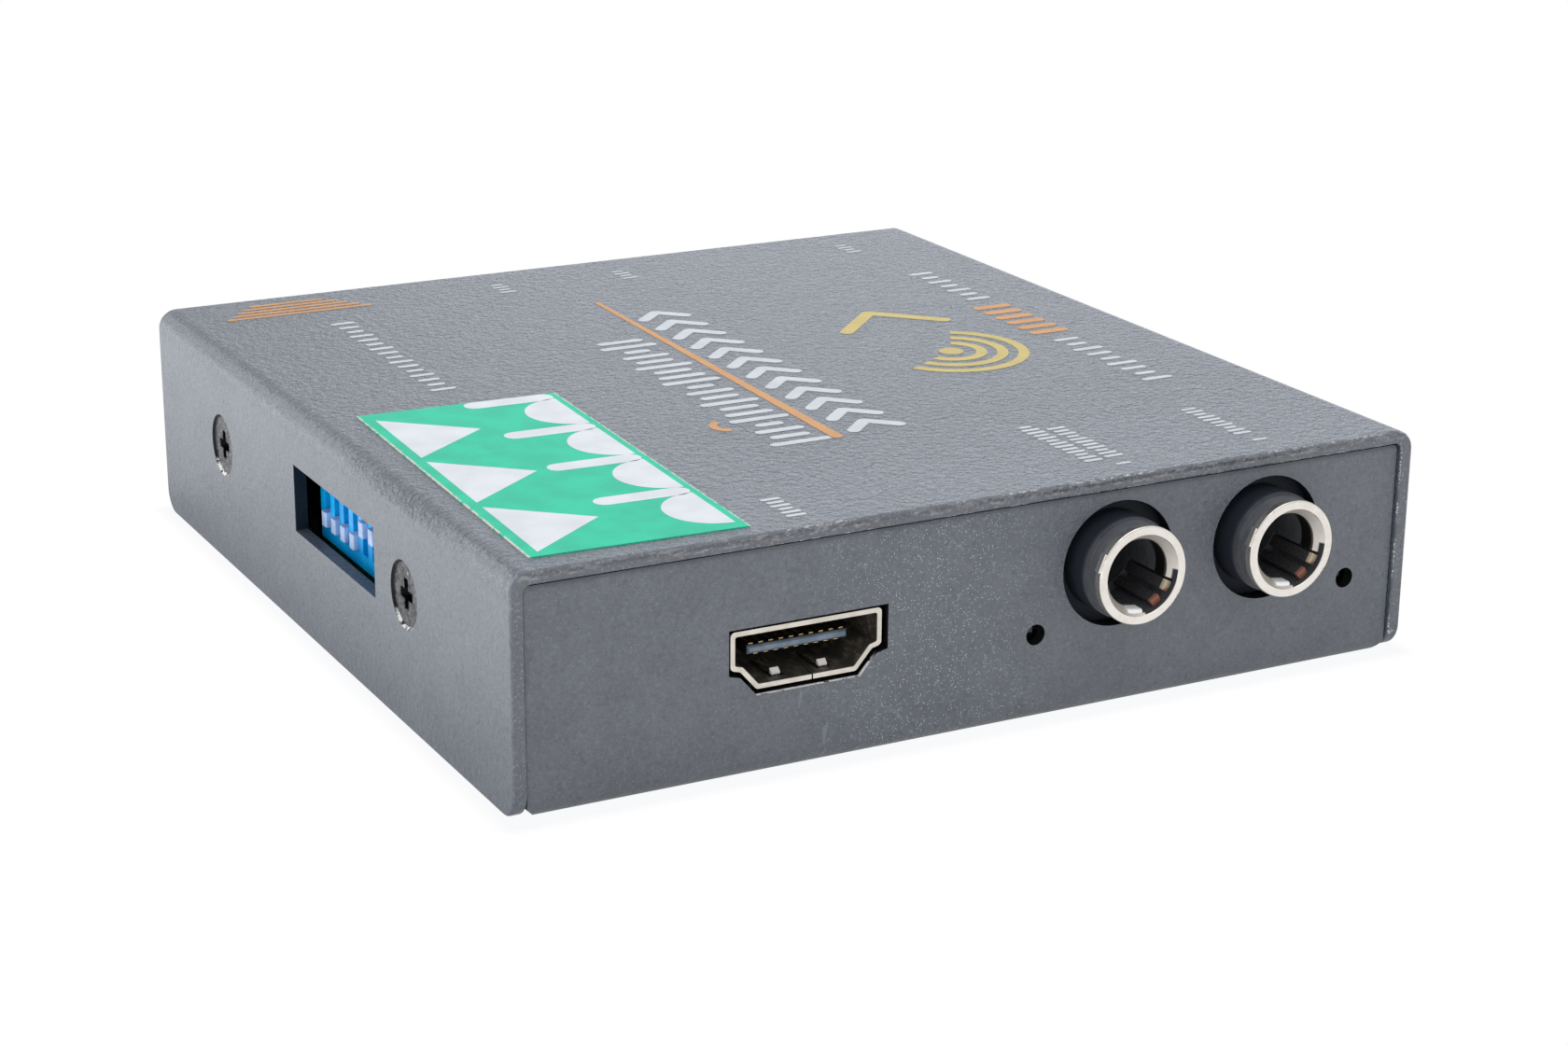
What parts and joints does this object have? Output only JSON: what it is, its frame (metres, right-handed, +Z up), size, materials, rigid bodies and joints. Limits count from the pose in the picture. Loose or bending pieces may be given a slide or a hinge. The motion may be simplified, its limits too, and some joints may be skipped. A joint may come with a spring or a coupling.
{
  "type": "hdmi to sdi converter",
  "caption": "Small sheet-metal signal converter box with an HDMI socket and round audio sockets in front, coaxial video sockets and power behind, and slide switches in its side.",
  "frame": {"origin": "centre of the case's flat underside", "axes": "+X to the right seen from the HDMI side, +Y from the HDMI panel to the rear panel, +Z up"},
  "size_m": [0.0936, 0.1121, 0.0227],
  "materials": {
    "cover_paint": "fine-textured grey powder coat",
    "chassis_paint": "fine-textured dark grey powder coat",
    "screw_steel": "dark plated, satin",
    "zinc_steel": "zinc plated, satin",
    "board_green": "green solder mask",
    "socket_plate": "nickel plated, satin",
    "socket_black": "moulded black",
    "tongue_grey": "moulded light grey",
    "contact_gold": "gold flash",
    "jack_black": "moulded black, satin",
    "jack_nickel": "bright nickel",
    "spring_plate": "tin plated",
    "bnc_nickel": "bright nickel",
    "bnc_white": "turned white insulator",
    "switch_blue": "moulded blue",
    "slider_white": "moulded white",
    "chip_black": "moulded resin",
    "pad_grey": "soft pad",
    "sink_aluminium": "extruded, bead blasted",
    "coil_grey": "moulded powder",
    "can_aluminium": "bright sleeve",
    "small_tan": "fired, with plated ends",
    "lamp_white": "cast",
    "label_film": "printed film"
  },
  "bodies": {
    "case": {"top_cover": "cover_paint", "base_chassis": "chassis_paint", "cover_screws": "screw_steel", "board_standoffs": "zinc_steel", "board_screws": "zinc_steel", "main_board": "board_green", "hdmi_shell": "socket_plate", "hdmi_insulator": "tongue_grey", "hdmi_contacts": "contact_gold", "audio_jack_1_body": "jack_black", "audio_jack_1_ferrule": "jack_nickel", "audio_jack_1_contacts": "spring_plate", "audio_jack_2_body": "jack_black", "audio_jack_2_ferrule": "jack_nickel", "audio_jack_2_contacts": "spring_plate", "sdi_jack_1_shell": "bnc_nickel", "sdi_jack_1_insulator": "bnc_white", "sdi_jack_1_contact": "contact_gold", "sdi_jack_1_washer": "bnc_nickel", "sdi_jack_1_nut": "bnc_nickel", "sdi_jack_2_shell": "bnc_nickel", "sdi_jack_2_insulator": "bnc_white", "sdi_jack_2_contact": "contact_gold", "sdi_jack_2_washer": "bnc_nickel", "sdi_jack_2_nut": "bnc_nickel", "power_jack_body": "socket_black", "power_jack_pin": "spring_plate", "power_jack_spring": "spring_plate", "switch_housing": "switch_blue", "switch_base": "socket_black", "switch_pins": "spring_plate", "main_chip": "chip_black", "thermal_pad": "pad_grey", "heat_sink": "sink_aluminium", "memory_chip": "chip_black", "hdmi_receiver": "chip_black", "audio_codec": "chip_black", "crystal": "zinc_steel", "cable_drivers": "chip_black", "power_coils": "coil_grey", "capacitors": "can_aluminium", "small_parts": "small_tan", "status_lamps": "lamp_white", "top_label": "label_film"},
    "slider_1": {"switch_slider_1": "slider_white"},
    "slider_2": {"switch_slider_2": "slider_white"},
    "slider_3": {"switch_slider_3": "slider_white"},
    "slider_4": {"switch_slider_4": "slider_white"},
    "slider_5": {"switch_slider_5": "slider_white"},
    "slider_6": {"switch_slider_6": "slider_white"},
    "slider_7": {"switch_slider_7": "slider_white"},
    "slider_8": {"switch_slider_8": "slider_white"}
  },
  "joints": [
    {"name": "switch_1_slide", "type": "slide", "parent": "case", "child": "slider_1", "axis": [0, 0, 1], "range_m": [-0.0019, 0]},
    {"name": "switch_2_slide", "type": "slide", "parent": "case", "child": "slider_2", "axis": [0, 0, 1], "range_m": [-0.0019, 0]},
    {"name": "switch_3_slide", "type": "slide", "parent": "case", "child": "slider_3", "axis": [0, 0, 1], "range_m": [-0.0019, 0]},
    {"name": "switch_4_slide", "type": "slide", "parent": "case", "child": "slider_4", "axis": [0, 0, 1], "range_m": [-0.0019, 0]},
    {"name": "switch_5_slide", "type": "slide", "parent": "case", "child": "slider_5", "axis": [0, 0, 1], "range_m": [0, 0.0019]},
    {"name": "switch_6_slide", "type": "slide", "parent": "case", "child": "slider_6", "axis": [0, 0, 1], "range_m": [0, 0.0019]},
    {"name": "switch_7_slide", "type": "slide", "parent": "case", "child": "slider_7", "axis": [0, 0, 1], "range_m": [0, 0.0019]},
    {"name": "switch_8_slide", "type": "slide", "parent": "case", "child": "slider_8", "axis": [0, 0, 1], "range_m": [0, 0.0019]}
  ]
}
